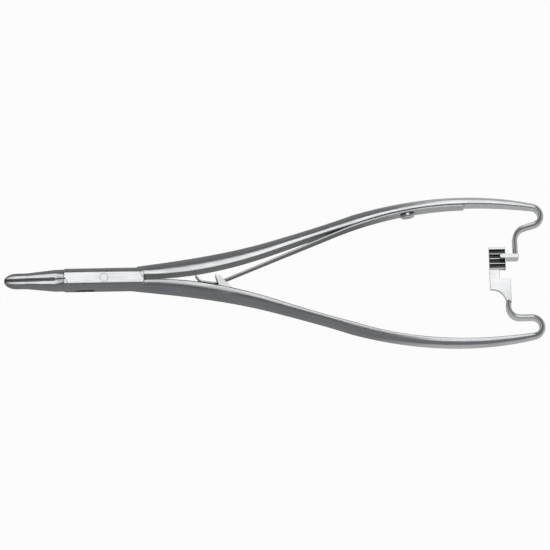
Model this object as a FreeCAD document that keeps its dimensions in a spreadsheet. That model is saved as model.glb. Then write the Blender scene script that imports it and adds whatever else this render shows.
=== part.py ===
"""Surgical needle holder of the palm-handled kind, with box lock, leaf spring and end ratchet.

Frame, in millimetres: the origin is on the joint axis, on the surface that the closed
instrument lies on. +X runs from the joint to the handle ends, +Y to the handle that
carries the leaf spring and +Z up, out of the box lock. Both halves are drawn with their
handle towards +Y, about a middle plane at z = 0. The box half is then turned over about X.
"""

import FreeCAD, Part

import math
import os
import re

import Sketcher

Vector = FreeCAD.Vector
Rotation = FreeCAD.Rotation

SIZES = {
    # Box lock: the two cheeks, the tongue between them and the rivet pin.
    "box_depth": 7.0,
    "box_height": 8.5,
    "box_reach": 14.3,
    "box_shoulder": 12.1,
    "box_round": 2.8,
    "box_overrun": 0.4,
    "tongue_thick": 2.6,
    "lock_gap": 0.06,
    "pin_diameter": 3.0,
    "pin_gap": 0.03,
    "open_angle": 14.0,
    "open_spare": 1.5,
    # Jaws: length from the joint, and height and width of each half at four places.
    "jaw_length": 37.1,
    "jaw_mid": 28.5,
    "jaw_root": 13.0,
    "root_inset": 0.12,
    "tip_height": 2.15,
    "tip_width": 2.6,
    "tip_round": 1.2,
    "mid_height": 3.0,
    "mid_width": 3.6,
    "seat_height": 4.1,
    "seat_width": 5.0,
    # Gripping inserts, brazed flush into the jaws.
    "insert_end": 18.3,
    "insert_thick": 0.6,
    "insert_gap": 0.04,
    "jaw_relief": 0.15,
    # Centre line of a handle bar.
    "shank_x": 8.0,
    "shank_y": 2.6,
    "shank_angle": 2.5,
    "shank_run": 6.0,
    "spread_radius": 190.0,
    "spread_angle": 15.0,
    "spread_run": 31.5,
    "handle_step": 1.0,
    "grip_radius": 138.0,
    "grip_angle": 27.9,
    "lobe_radius": 3.8,
    # Thickness across and depth along Z of the bar, and its rounded inner corners.
    "shank_thick": 3.1,
    "shank_depth": 6.6,
    "throat_thick": 4.2,
    "bar_thick": 4.5,
    "bar_depth": 6.4,
    "bar_edge": 0.4,
    "bend_thick": 4.2,
    "bend_depth": 6.6,
    "screw_thick": 3.6,
    "screw_depth": 6.8,
    "tail_thick": 3.3,
    "tail_depth": 6.9,
    "lobe_thick": 2.2,
    "lobe_depth": 5.2,
    "limb_thick": 2.0,
    "limb_depth": 5.0,
    "limb_edge": 0.3,
    # Catch on the end of the spring handle.
    "catch_limb_angle": 16.2,
    "catch_limb_run": 3.93,
    "catch_neck_radius": 4.8,
    "catch_neck_thick": 1.9,
    "catch_level": 6.45,
    "foot_thick": 1.55,
    "foot_depth": 5.6,
    "nose_overlap": 2.1,
    "nose_round": 0.7,
    "catch_gap": 0.12,
    "foot_gap": 0.5,
    # Ratchet on the end of the other handle.
    "rack_limb_run": 4.27,
    "rack_neck_radius": 4.1,
    "rack_neck_thick": 1.9,
    "rack_neck_level": 11.0,
    "plate_thick": 2.0,
    "plate_width": 7.6,
    "plate_corner": 6.6,
    "plate_flare": 5.2,
    "plate_stand": 0.1,
    "notch_floor": 2.7,
    "notch_width": 3.7,
    "rack_width": 6.0,
    "rack_raise": 0.5,
    "rack_bottom": 1.1,
    "tooth_pitch": 1.85,
    "tooth_count": 4,
    "tooth_depth": 0.6,
    "tooth_land": 0.25,
    # Leaf spring and its screw.
    "screw_at": 0.3,
    "tail_at": 0.62,
    "leaf_thick": 0.6,
    "leaf_gap": 0.06,
    "leaf_width": 6.0,
    "leaf_tip_width": 3.4,
    "leaf_bend_radius": 130.0,
    "window_run": 0.5,
    "toe_radius": 4.0,
    "toe_angle": 31.0,
    "toe_run": 3.8,
    "curl_radius": 2.5,
    "curl_angle": 44.0,
    "curl_run": 1.8,
    "screw_diameter": 2.5,
    "screw_length": 2.4,
    "screw_gap": 0.1,
    "thread_gap": 0.02,
    "head_diameter": 5.2,
    "head_height": 1.3,
    "head_slot": 0.6,
    "head_gap": 0.06,
    # Stirrup on the inside of the ratchet handle, which the leaf spring's toe runs through.
    "stirrup_at": 0.6,
    "stirrup_height": 4.15,
    "stirrup_lean": 1.9,
    "stirrup_front": 2.0,
    "stirrup_back": 4.3,
    "window_at": 1.6,
    "stirrup_depth": 5.8,
    "window_width": 3.9,
    "window_sill": 1.0,
    "window_lintel": 0.75,
}

# Widest cut made with one outline, more than the instrument is deep.
CUT_DEPTH = 40.0
# How far the outline of a cut stands out past the metal that it removes.
CUT_MARGIN = 4.0
# A turn of half a circle, in degrees.
HALF_TURN = 180.0
# Narrow flats that the domed back of a bar is ground in.
DOME_FLATS = 16
XY, XZ, YZ = "XY_Plane", "XZ_Plane", "YZ_Plane"
ORIGIN_POINT = (-1, 1)
# Two lengths closer than this are the same, in millimetres.
SAME = 1e-4

# Places across the box lock, as formulas. The tongue lies between two lines that lean by
# LEAN, each from a jaw or handle corner on the axis to the outer edge at the far shoulder.
EDGE = "box_height / 2"
BEYOND_EDGE = f"(box_height / 2 + {CUT_MARGIN})"
BEYOND_REACH = f"(box_reach + box_overrun + {CUT_MARGIN})"
LEAN = "atan(box_height / (2 * (box_reach + box_shoulder)))"
SWING = "((open_angle + open_spare) * 1 deg)"
STOP_RADIUS = f"(box_reach * sin({LEAN}) / cos({SWING} / 2))"
STOP_X = f"({STOP_RADIUS} * sin({LEAN} + {SWING} / 2))"
STOP_Y = f"({STOP_RADIUS} * cos({LEAN} + {SWING} / 2))"
STOP_END_X = f"({STOP_X} - ({BEYOND_EDGE} - {STOP_Y}) / tan({LEAN} + {SWING}))"

document = FreeCAD.newDocument("NeedleHolder")
sheet = document.addObject("Spreadsheet::Sheet", "Sizes")
for row, (name, number) in enumerate(SIZES.items(), start=1):
    sheet.set(f"A{row}", name)
    sheet.set(f"B{row}", str(number))
    sheet.setAlias(f"B{row}", name)
document.recompute()


def bound(formula):
    """The formula with each size written as a cell of the sheet."""
    return re.sub(r"[a-z_]+", lambda word: f"Sizes.{word[0]}" if word[0] in SIZES else word[0], formula)


def value(formula):
    """What a formula comes to with the sizes as they are, in millimetres or degrees."""
    result = sheet.evalExpression(bound(formula))
    return float(getattr(result, "Value", result))


def add_body(label):
    """An empty body lying in the middle plane of the instrument."""
    body = document.addObject("PartDesign::Body", label)
    body.Label = label
    body.setExpression(".Placement.Base.z", bound("box_depth / 2"))
    return body


def origin_plane(body, role):
    """The plane of the body's own origin that has this role."""
    return next(item for item in body.Origin.OriginFeatures if item.Role == role)


def add_sketch(body, name, role=XY, offset="0"):
    """A sketch on one of the body's origin planes, moved along that plane's normal."""
    sketch = body.newObject("Sketcher::SketchObject", name)
    sketch.AttachmentSupport = [(origin_plane(body, role), "")]
    sketch.MapMode = "FlatFace"
    sketch.setExpression(".AttachmentOffset.Base.z", bound(offset))
    return sketch


def constrain(sketch, kind, *terms, formula=None):
    """One constraint, driven by a formula of the sheet's sizes if it has one."""
    if formula is None:
        sketch.addConstraint(Sketcher.Constraint(kind, *terms))
        return
    number = value(formula)
    unit = " mm"
    if kind == "Angle":
        number = math.radians(number)
        unit = " deg"
    index = sketch.addConstraint(Sketcher.Constraint(kind, *terms, number))
    sketch.setExpression(f"Constraints[{index}]", f"({bound(formula)}) * 1{unit}")


def outline(sketch, corners):
    """A closed outline of straight sides through corners given as two formulas each."""
    points = [Vector(value(across), value(along), 0) for across, along in corners]
    count = len(points)
    for index, point in enumerate(points):
        sketch.addGeometry(Part.LineSegment(point, points[(index + 1) % count]), False)
    for index, (across, along) in enumerate(corners):
        constrain(sketch, "Coincident", index, 2, (index + 1) % count, 1)
        constrain(sketch, "DistanceX", *ORIGIN_POINT, index, 1, formula=across)
        constrain(sketch, "DistanceY", *ORIGIN_POINT, index, 1, formula=along)


def circle(sketch, diameter):
    """A circle about the sketch's own origin."""
    sketch.addGeometry(Part.Circle(Vector(0, 0, 0), Vector(0, 0, 1), value(diameter) / 2), False)
    constrain(sketch, "Coincident", 0, 3, *ORIGIN_POINT)
    constrain(sketch, "Diameter", 0, formula=diameter)


def extrude(body, kind, sketch, depth, midplane=True, reverse=False):
    """A pad or a pocket of a sketch, half to each side of it unless midplane is off."""
    feature = body.newObject(f"PartDesign::{kind}", f"{kind}_{sketch.Name}")
    feature.Profile = (sketch, [""])
    feature.Midplane = midplane
    feature.Reversed = reverse
    feature.setExpression("Length", bound(depth))
    document.recompute()
    return feature


def pad(body, sketch, depth, **options):
    """Metal added on a sketch."""
    return extrude(body, "Pad", sketch, depth, **options)


def pocket(body, sketch, depth=str(CUT_DEPTH), **options):
    """Metal cut away by a sketch, which has to take something off."""
    before = body.Shape.Volume
    feature = extrude(body, "Pocket", sketch, depth, **options)
    if not body.Shape.Volume < before:
        raise RuntimeError(f"{feature.Name} cuts nothing")
    return feature


class PathWalk:
    """A sketch of tangent runs and bends in the middle plane, drawn from one end to the other."""

    def __init__(self, body, name, start_x, start_y, heading, driven=True):
        self.sketch = add_sketch(body, name)
        self.point = Vector(value(start_x), value(start_y), 0)
        self.heading = math.radians(value(heading))
        self.start = (start_x, start_y, heading)
        self.driven = driven
        self.last_end = None

    def _bind(self, kind, *terms, formula=None):
        """A constraint, unless the route is worked out from other sketches."""
        if self.driven:
            constrain(self.sketch, kind, *terms, formula=formula)

    def append(self, geometry, first, last):
        """Adds a stretch and makes it tangent to the one before it."""
        index = self.sketch.addGeometry(geometry, False)
        if self.last_end is None:
            start_x, start_y, heading = self.start
            self._bind("DistanceX", *ORIGIN_POINT, index, first, formula=start_x)
            self._bind("DistanceY", *ORIGIN_POINT, index, first, formula=start_y)
            self._bind("Angle", index, formula=heading)
        else:
            self._bind("Tangent", *self.last_end, index, first)
        self.last_end = (index, last)
        return index

    def run(self, length):
        """A straight stretch of the given length."""
        self._bind("Distance", self._straight(value(length)), formula=length)

    def run_to_level(self, level):
        """A straight stretch that ends at a given height across the instrument."""
        index = self._straight((value(level) - self.point.y) / math.sin(self.heading))
        self._bind("DistanceY", *ORIGIN_POINT, index, 2, formula=level)

    def _straight(self, reach):
        """The geometry of a straight stretch, from the present point along the heading."""
        end = self.point + Vector(math.cos(self.heading), math.sin(self.heading), 0) * reach
        index = self.append(Part.LineSegment(self.point, end), 1, 2)
        self.point = end
        return index

    def bend(self, radius, angle, side):
        """A bend through an angle, to the left of the way walked if side is 1 and right if -1."""
        size = value(radius)
        turn = math.radians(value(angle)) * side
        centre = self.point + left_of(self.heading) * size * side
        middle = centre - left_of(self.heading + turn / 2) * size * side
        finish = centre - left_of(self.heading + turn) * size * side
        ends = (1, 2) if side > 0 else (2, 1)
        index = self.append(Part.Arc(self.point, middle, finish), *ends)
        self._bind("Radius", index, formula=radius)
        self._bind("Angle", index, formula=angle)
        self.point = finish
        self.heading += turn


def left_of(heading):
    """The direction to the left of a heading, in the middle plane."""
    return Vector(-math.sin(heading), math.cos(heading), 0)


def section_sketch(body, name, path, edge, fraction):
    """A sketch square to a path, its X towards the instrument's axis and its Y up."""
    sketch = body.newObject("Sketcher::SketchObject", name)
    sketch.AttachmentSupport = [(path, f"Edge{edge}")]
    sketch.MapMode = "NormalToEdge"
    sketch.setExpression("MapPathParameter", bound(fraction))
    return sketch


def half_round(body, name, path, edge, fraction, thick, depth, broken):
    """The section of a bar: flat with broken edges inside, and domed outside in fine flats."""
    sketch = section_sketch(body, name, path, edge, fraction)
    corners = [
        (f"({thick}) / 2", f"{broken} - ({depth}) / 2"),
        (f"({thick}) / 2", f"({depth}) / 2 - {broken}"),
    ]
    for flat in range(DOME_FLATS + 1):
        turn = f"({HALF_TURN * flat / DOME_FLATS} * 1 deg)"
        across = f"({thick}) / 2 - {broken} - (({thick}) - {broken}) * sin({turn})"
        corners.append((across, f"({depth}) / 2 * cos({turn})"))
    outline(sketch, corners)
    return sketch


def sweep(body, name, path, edges, sections):
    """Metal swept along some edges of a path, from section to section."""
    feature = body.newObject("PartDesign::AdditivePipe", name)
    feature.Profile = (sections[0], [""])
    feature.Spine = (path, [f"Edge{edge}" for edge in edges])
    feature.Sections = [(section, [""]) for section in sections[1:]]
    feature.Transformation = "Multisection"
    document.recompute()


def rectangle(sketch, low_x, high_x, low_y, high_y):
    """A closed rectangle between two places across and two along."""
    outline(sketch, [(low_x, low_y), (high_x, low_y), (high_x, high_y), (low_x, high_y)])


def fillet(body, name, base, radius, chosen):
    """Rounds the edges of a feature that a test picks out."""
    names = [f"Edge{index}" for index, edge in enumerate(base.Shape.Edges, start=1) if chosen(edge)]
    feature = body.newObject("PartDesign::Fillet", name)
    feature.Base = (base, names)
    feature.setExpression("Radius", bound(radius))
    document.recompute()
    return feature


def along(edge, direction):
    """Whether an edge is straight and runs along a direction."""
    if not isinstance(edge.Curve, Part.Line):
        return False
    return abs(edge.Curve.Direction.dot(direction)) > 1 - SAME


def cut_outline(body, name, corners, depth=str(CUT_DEPTH), offset="0", **options):
    """A pocket through the middle plane, or from a plane above or below it."""
    sketch = add_sketch(body, name, offset=offset)
    outline(sketch, corners)
    return pocket(body, sketch, depth, **options)


def add_block(body):
    """The box lock's block, with its four long edges well rounded."""
    reach = "(box_reach + box_overrun)"
    section = add_sketch(body, "block_section", YZ, offset=f"-{reach}")
    rectangle(section, "-box_height / 2", "box_height / 2", "-box_depth / 2", "box_depth / 2")
    block = pad(body, section, f"2 * {reach}", midplane=False)
    fillet(body, "block_rounds", block, "box_round", lambda edge: along(edge, Vector(1, 0, 0)))


def jaw_section(body, name, place, height, width):
    """The section of one jaw: flat towards the other jaw, straight sides and a half-round back."""
    sketch = add_sketch(body, name, YZ, offset=place)
    half_width = value(width) / 2
    shoulder = half_width - value(height)
    low, high = Vector(0, -half_width, 0), Vector(0, half_width, 0)
    low_side, high_side = Vector(shoulder, -half_width, 0), Vector(shoulder, half_width, 0)
    back = Part.Circle(Vector(shoulder, 0, 0), Vector(0, 0, 1), half_width)
    sketch.addGeometry(Part.LineSegment(low, high), False)
    sketch.addGeometry(Part.LineSegment(high, high_side), False)
    sketch.addGeometry(Part.ArcOfCircle(back, math.pi / 2, 3 * math.pi / 2), False)
    sketch.addGeometry(Part.LineSegment(low_side, low), False)
    constrain(sketch, "Coincident", 0, 2, 1, 1)
    constrain(sketch, "Tangent", 1, 2, 2, 1)
    constrain(sketch, "Tangent", 2, 2, 3, 1)
    constrain(sketch, "Coincident", 3, 2, 0, 1)
    constrain(sketch, "Horizontal", 1)
    constrain(sketch, "Horizontal", 3)
    constrain(sketch, "PointOnObject", 0, 1, -2)
    constrain(sketch, "PointOnObject", 0, 2, -2)
    constrain(sketch, "DistanceY", *ORIGIN_POINT, 0, 2, formula=f"{width} / 2")
    constrain(sketch, "DistanceY", *ORIGIN_POINT, 0, 1, formula=f"-{width} / 2")
    constrain(sketch, "DistanceX", *ORIGIN_POINT, 2, 3, formula=f"{width} / 2 - {height}")
    return sketch


def at_tip(edge):
    """Whether an edge lies in the plane of the jaw's end, away from the jaw's face."""
    box = edge.BoundBox
    tip = -value("jaw_length")
    return abs(box.XMin - tip) < SAME and abs(box.XMax - tip) < SAME and box.YMin < -SAME


def add_jaw(body):
    """A jaw on the side of -Y, from its end to its root inside the box lock."""
    sections = [
        jaw_section(body, "jaw_tip", "-jaw_length", "tip_height", "tip_width"),
        jaw_section(body, "jaw_middle", "-jaw_mid", "mid_height", "mid_width"),
        jaw_section(body, "jaw_seat", "-insert_end", "seat_height", "seat_width"),
        jaw_section(body, "jaw_root", "-jaw_root", f"({EDGE} - root_inset)", "(box_depth - 2 * root_inset)"),
    ]
    loft = body.newObject("PartDesign::AdditiveLoft", "jaw")
    loft.Profile = (sections[0], [""])
    loft.Sections = [(section, [""]) for section in sections[1:]]
    loft.Ruled = True
    document.recompute()
    return loft


def seat_insert(body):
    """The step cut in a jaw's face for its insert, and the relief behind it."""
    beyond = f"(jaw_length + {CUT_MARGIN})"
    bed = "-(insert_gap / 2 + insert_thick)"
    sketch = add_sketch(body, "insert_seat")
    rectangle(sketch, f"-{beyond}", "-insert_end", bed, f"{CUT_MARGIN}")
    pocket(body, sketch)
    sketch = add_sketch(body, "jaw_relief")
    rectangle(sketch, "-insert_end - jaw_relief", "-box_reach", "-jaw_relief", f"{CUT_MARGIN}")
    pocket(body, sketch)


def bar_path(body, spread_run):
    """The first stretches of a handle's centre line, up to the start of the lobe's lower limb."""
    walk = PathWalk(body, "bar_path", "shank_x", "shank_y", "shank_angle")
    walk.run("shank_run")
    walk.bend("spread_radius", "spread_angle", 1)
    walk.run(spread_run)
    walk.bend("grip_radius", "grip_angle", -1)
    return walk


# The heading of the centre line where the lobe starts, below the instrument's axis.
LOBE_HEADING = "(grip_angle - shank_angle - spread_angle)"


def add_bar(body, path, neck_thick, end_thick, end_depth):
    """A handle bar swept along its centre line, and the lobe and neck that follow it."""
    places = [
        ("bar_shank", 1, "0", "shank_thick", "shank_depth", "bar_edge"),
        ("bar_throat", 2, "0", "throat_thick", "shank_depth", "bar_edge"),
        ("bar_spread", 3, "0", "bar_thick", "bar_depth", "bar_edge"),
        ("bar_bend", 4, "0", "bend_thick", "bend_depth", "bar_edge"),
        ("bar_screw", 4, "screw_at", "screw_thick", "screw_depth", "bar_edge"),
        ("bar_tail", 4, "tail_at", "tail_thick", "tail_depth", "bar_edge"),
        ("bar_lobe", 5, "0", "lobe_thick", "lobe_depth", "limb_edge"),
    ]
    sections = [half_round(body, name, path, *place) for name, *place in places]
    sweep(body, "bar", path, (1, 2, 3), sections[:4])
    sweep(body, "grip", path, (4,), sections[3:])
    places = [
        ("lobe_limb", 6, "0", "limb_thick", "limb_depth", "limb_edge"),
        ("lobe_neck", 8, "0", neck_thick, "limb_depth", "limb_edge"),
        ("lobe_end", 8, "1", end_thick, end_depth, "limb_edge"),
    ]
    limb_sections = [half_round(body, name, path, *place) for name, *place in places]
    sweep(body, "lobe", path, (5, 6, 7, 8), [sections[-1], *limb_sections])


def end_sketch(body, name, path, turn=Rotation()):
    """A sketch whose origin is at the far end of a handle's centre line."""
    sketch = body.newObject("Sketcher::SketchObject", name)
    sketch.Placement = FreeCAD.Placement(Vector(), turn)
    sketch.AttachmentSupport = [(path, f"Vertex{len(path.Shape.Vertexes)}")]
    sketch.MapMode = "Translate"
    return sketch


def turned(corners):
    """Corners and their images half a turn about the joint, as the box lock repeats itself."""
    return corners + [(f"-({across})", f"-({along_y})") for across, along_y in corners]


def box_half():
    """The forging with the upper jaw, the box lock's cheeks, the ratchet handle and the rack."""
    body = add_body("box_half")
    add_block(body)
    fillet(body, "jaw_tip_round", add_jaw(body), "tip_round", at_tip)
    walk = bar_path(body, "(spread_run - handle_step)")
    walk.bend("lobe_radius", f"{HALF_TURN} - {LOBE_HEADING}", -1)
    walk.run("rack_limb_run")
    walk.bend("rack_neck_radius", "90", 1)
    walk.run_to_level("rack_neck_level")
    path = walk.sketch
    document.recompute()
    add_bar(body, path, "rack_neck_thick", "rack_neck_thick", "(2 * plate_thick)")
    add_rack(body, path)
    add_stirrup(body, path)
    corner = [
        ("-box_reach", "0"),
        ("-box_shoulder", EDGE),
        ("-box_shoulder", BEYOND_EDGE),
        (f"-{BEYOND_REACH}", BEYOND_EDGE),
        (f"-{BEYOND_REACH}", "0"),
    ]
    cut_outline(body, "front_shoulder", corner)
    cut_outline(body, "rear_shoulder", [(f"-({across})", f"-({along_y})") for across, along_y in corner])
    slot = turned([
        ("-box_reach", "0"),
        (f"-{STOP_X}", f"-{STOP_Y}"),
        (f"-{STOP_END_X}", f"-{BEYOND_EDGE}"),
        (BEYOND_REACH, f"-{BEYOND_EDGE}"),
        (BEYOND_REACH, "0"),
    ])
    cut_outline(body, "tongue_slot", slot, "tongue_thick + 2 * lock_gap")
    seat_insert(body)
    hole = add_sketch(body, "pin_hole")
    circle(hole, "pin_diameter")
    pocket(body, hole)
    body.Placement = FreeCAD.Placement(body.Placement.Base, Rotation(Vector(1, 0, 0), HALF_TURN))
    return body, path


# Edges of the rack's plate, measured from the middle of the neck that carries it.
PLATE_RIGHT = "(rack_neck_thick / 2 + plate_stand)"
PLATE_LEFT = "(rack_neck_thick / 2 - plate_width)"
RACK_RIGHT = "(rack_neck_thick / 2 - plate_width + rack_width)"
NOTCH_LEFT = "(rack_neck_thick / 2 - plate_width + notch_width)"
RACK_FACE = "(plate_thick / 2 + rack_raise)"
RACK_HEIGHT = "(tooth_pitch * (tooth_count + 0.5))"


def add_rack(body, path):
    """The plate on the neck's end, its release notch, and the toothed rack that faces up."""
    notch = "(notch_floor - rack_neck_level)"
    rack_low = "(-rack_bottom - rack_neck_level)"
    rack_high = f"({rack_low} - {RACK_HEIGHT})"
    flare_end = "(plate_corner - rack_neck_level + plate_flare)"
    flare_x = "(-rack_neck_thick / 2 - plate_flare + plate_stand)"
    plate = end_sketch(body, "rack_plate", path)
    outline(plate, [
        (PLATE_RIGHT, flare_end),
        (PLATE_RIGHT, notch),
        (NOTCH_LEFT, notch),
        (NOTCH_LEFT, rack_low),
        (RACK_RIGHT, rack_low),
        (RACK_RIGHT, rack_high),
        (PLATE_LEFT, rack_high),
        (PLATE_LEFT, "(plate_corner - rack_neck_level)"),
        (flare_x, "(plate_corner - rack_neck_level)"),
        (flare_x, flare_end),
    ])
    pad(body, plate, "plate_thick")
    flare = end_sketch(body, "plate_flare", path)
    flare_centre = Vector(value(flare_x), value(flare_end), 0)
    flare.addGeometry(Part.Circle(flare_centre, Vector(0, 0, 1), value("plate_flare")))
    constrain(flare, "DistanceX", *ORIGIN_POINT, 0, 3, formula=flare_x)
    constrain(flare, "DistanceY", *ORIGIN_POINT, 0, 3, formula=flare_end)
    constrain(flare, "Radius", 0, formula="plate_flare")
    pocket(body, flare, "plate_thick * 2")
    block = end_sketch(body, "rack_block", path)
    rectangle(block, PLATE_LEFT, RACK_RIGHT, rack_high, rack_low)
    pad(body, block, RACK_FACE, midplane=False, reverse=True)
    teeth = end_sketch(body, "rack_teeth", path, Rotation(Vector(1, 1, 1), 120))
    teeth.setExpression(".AttachmentOffset.Base.x", bound(f"({PLATE_LEFT} + {RACK_RIGHT}) / 2"))
    root = f"(tooth_depth - {RACK_FACE})"
    over = f"(-{RACK_FACE} - {CUT_MARGIN})"
    corners = []
    for tooth in range(int(value("tooth_count"))):
        low = f"({rack_high} + tooth_pitch * {tooth + 0.5})"
        corners.append((low, f"-{RACK_FACE}"))
        corners.append((low, root))
        corners.append((f"({low} + tooth_pitch - tooth_land)", f"-{RACK_FACE}"))
    corners.append((f"({rack_low} - tooth_land)", over))
    corners.append((f"({rack_high} + tooth_pitch / 2)", over))
    outline(teeth, corners)
    pocket(body, teeth, "rack_width * 2")


def add_stirrup(body, path):
    """The stirrup on the handle's inner side, with a window for the leaf spring's toe."""
    face = "(bar_thick / 2)"
    top = "(bar_thick / 2 + stirrup_height)"
    lean_to = Rotation(Vector(1, 0, 0), -90)
    hoop = section_sketch(body, "stirrup", path, 2, "stirrup_at")
    hoop.AttachmentOffset = FreeCAD.Placement(Vector(0, 0, 0), lean_to)
    outline(hoop, [
        ("0", "-stirrup_front"),
        (f"({face} + window_sill)", "-stirrup_front"),
        (top, "-stirrup_front - stirrup_lean"),
        (top, "-stirrup_front"),
        (f"({face} + window_sill)", "stirrup_back - stirrup_lean"),
        (face, "stirrup_back"),
        ("0", "stirrup_back"),
    ])
    pad(body, hoop, "stirrup_depth")
    window = section_sketch(body, "window", path, 2, "stirrup_at")
    window.AttachmentOffset = FreeCAD.Placement(Vector(0, 0, 0), lean_to)
    sill, lintel = f"({face} + window_sill)", f"({top} - window_lintel)"
    rectangle(window, sill, lintel, f"-{CUT_MARGIN} * 2", f"{CUT_MARGIN}")
    pocket(body, window, "window_width")


def tongue_half():
    """The forging with the lower jaw, the tongue, the spring handle and the catch."""
    body = add_body("tongue_half")
    add_block(body)
    fillet(body, "jaw_tip_round", add_jaw(body), "tip_round", at_tip)
    walk = bar_path(body, "spread_run")
    walk.bend("lobe_radius", f"{HALF_TURN} - {LOBE_HEADING} - catch_limb_angle", -1)
    walk.run("catch_limb_run")
    walk.bend("catch_neck_radius", "90 - catch_limb_angle", 1)
    walk.run_to_level("catch_level")
    path = walk.sketch
    document.recompute()
    add_bar(body, path, "catch_neck_thick", "catch_neck_thick", "limb_depth")
    add_foot(body, path)
    over_tongue = [
        ("-box_reach", "-lock_gap"),
        ("box_shoulder", f"({EDGE} - lock_gap)"),
        ("box_shoulder", BEYOND_EDGE),
        (f"-{BEYOND_REACH}", BEYOND_EDGE),
        (f"-{BEYOND_REACH}", "-lock_gap"),
    ]
    cut_outline(body, "over_tongue", over_tongue)
    cut_outline(body, "under_tongue", [(f"-({across})", f"-({along_y})") for across, along_y in over_tongue])
    cheek = turned([
        ("-box_reach - lock_gap", BEYOND_EDGE),
        ("-box_reach - lock_gap", "0"),
        ("-box_shoulder - lock_gap", f"-({EDGE})"),
        ("-box_shoulder - lock_gap", f"-{BEYOND_EDGE}"),
    ])
    cut_outline(body, "upper_cheek_room", cheek, offset="tongue_thick / 2", midplane=False, reverse=True)
    cut_outline(body, "lower_cheek_room", cheek, offset="-tongue_thick / 2", midplane=False)
    seat_insert(body)
    hole = add_sketch(body, "pin_hole")
    circle(hole, "pin_diameter + 2 * pin_gap")
    pocket(body, hole)
    thread = section_sketch(body, "screw_thread", path, 4, "screw_at")
    thread.AttachmentOffset = FreeCAD.Placement(Vector(0, 0, 0), Rotation(Vector(0, 1, 0), 90))
    thread.setExpression(".AttachmentOffset.Base.x", bound("screw_thick / 2 + leaf_gap"))
    circle(thread, "screw_diameter + 2 * thread_gap")
    pocket(body, thread, "screw_length + thread_gap + leaf_gap", midplane=False)
    return body, path


# How far the catch's neck stands past the rack's neck, along X.
NECK_STEP = (
    "((lobe_radius + catch_neck_radius) * sin(catch_limb_angle * 1 deg)"
    " - catch_limb_run * cos(catch_limb_angle * 1 deg)"
    " - catch_neck_radius + rack_limb_run + rack_neck_radius"
    " + handle_step * cos((shank_angle + spread_angle) * 1 deg))"
)


def add_foot(body, path):
    """The catch: a foot turned in over the rack, whose nose stands in front of the teeth."""
    rack_right = f"({RACK_RIGHT} - {NECK_STEP})"
    nose_end = f"({rack_right} - nose_overlap)"
    foot_start = f"({rack_right} + foot_gap)"
    foot = end_sketch(body, "foot", path)
    rectangle(foot, nose_end, "catch_neck_thick / 2 + plate_stand", "-foot_thick", "0")
    block = pad(body, foot, "foot_depth")
    tip = value(nose_end) + path.Shape.Vertexes[-1].X

    def at_nose(edge):
        """Whether an edge is one of the nose's two upright corners."""
        return along(edge, Vector(0, 0, 1)) and abs(edge.BoundBox.XMin - tip) < SAME

    fillet(body, "nose_rounds", block, "nose_round", at_nose)
    under = end_sketch(body, "nose_underside", path)
    under.setExpression(".AttachmentOffset.Base.z", bound(f"{RACK_FACE} + catch_gap"))
    rectangle(under, f"({nose_end} - foot_gap)", foot_start, "-foot_thick - foot_gap", "foot_gap")
    pocket(body, under, midplane=False)


def joint_pin():
    """The rivet pin, ground flush with both cheeks."""
    body = add_body("joint_pin")
    section = add_sketch(body, "pin_section")
    circle(section, "pin_diameter")
    pad(body, section, "box_depth")
    return body


def jaw_insert(label):
    """The hard insert brazed into a jaw's face, with the jaw's own outline."""
    body = add_body(label)
    add_jaw(body)
    beyond = f"(jaw_length + {CUT_MARGIN})"
    sketch = add_sketch(body, "insert_face")
    rectangle(sketch, f"-{beyond}", f"{CUT_MARGIN}", "-insert_gap / 2", f"{CUT_MARGIN}")
    pocket(body, sketch)
    sketch = add_sketch(body, "insert_back")
    rectangle(sketch, f"-{beyond}", f"{CUT_MARGIN}", f"-{BEYOND_EDGE}", "-insert_gap / 2 - insert_thick")
    pocket(body, sketch)
    sketch = add_sketch(body, "insert_heel")
    rectangle(sketch, "-insert_end", f"{CUT_MARGIN}", f"-{BEYOND_EDGE}", f"{CUT_MARGIN}")
    heel = pocket(body, sketch)

    def at_corner(edge):
        """Whether an edge is one of the tip's two corners, which run away from the face."""
        return at_tip(edge) and along(edge, Vector(0, 1, 0))

    fillet(body, "insert_tip_round", heel, "tip_round", at_corner)
    return body


def beside(path, edge, fraction, distance):
    """A point beside a path on the side of the instrument's axis, and the direction to it."""
    curve = path.Shape.Edges[edge - 1]
    low, high = curve.ParameterRange
    place = low + (high - low) * value(fraction)
    tangent = curve.tangentAt(place)
    inward = Vector(tangent.y, -tangent.x, 0)
    return curve.valueAt(place) + inward * value(distance), inward


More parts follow.
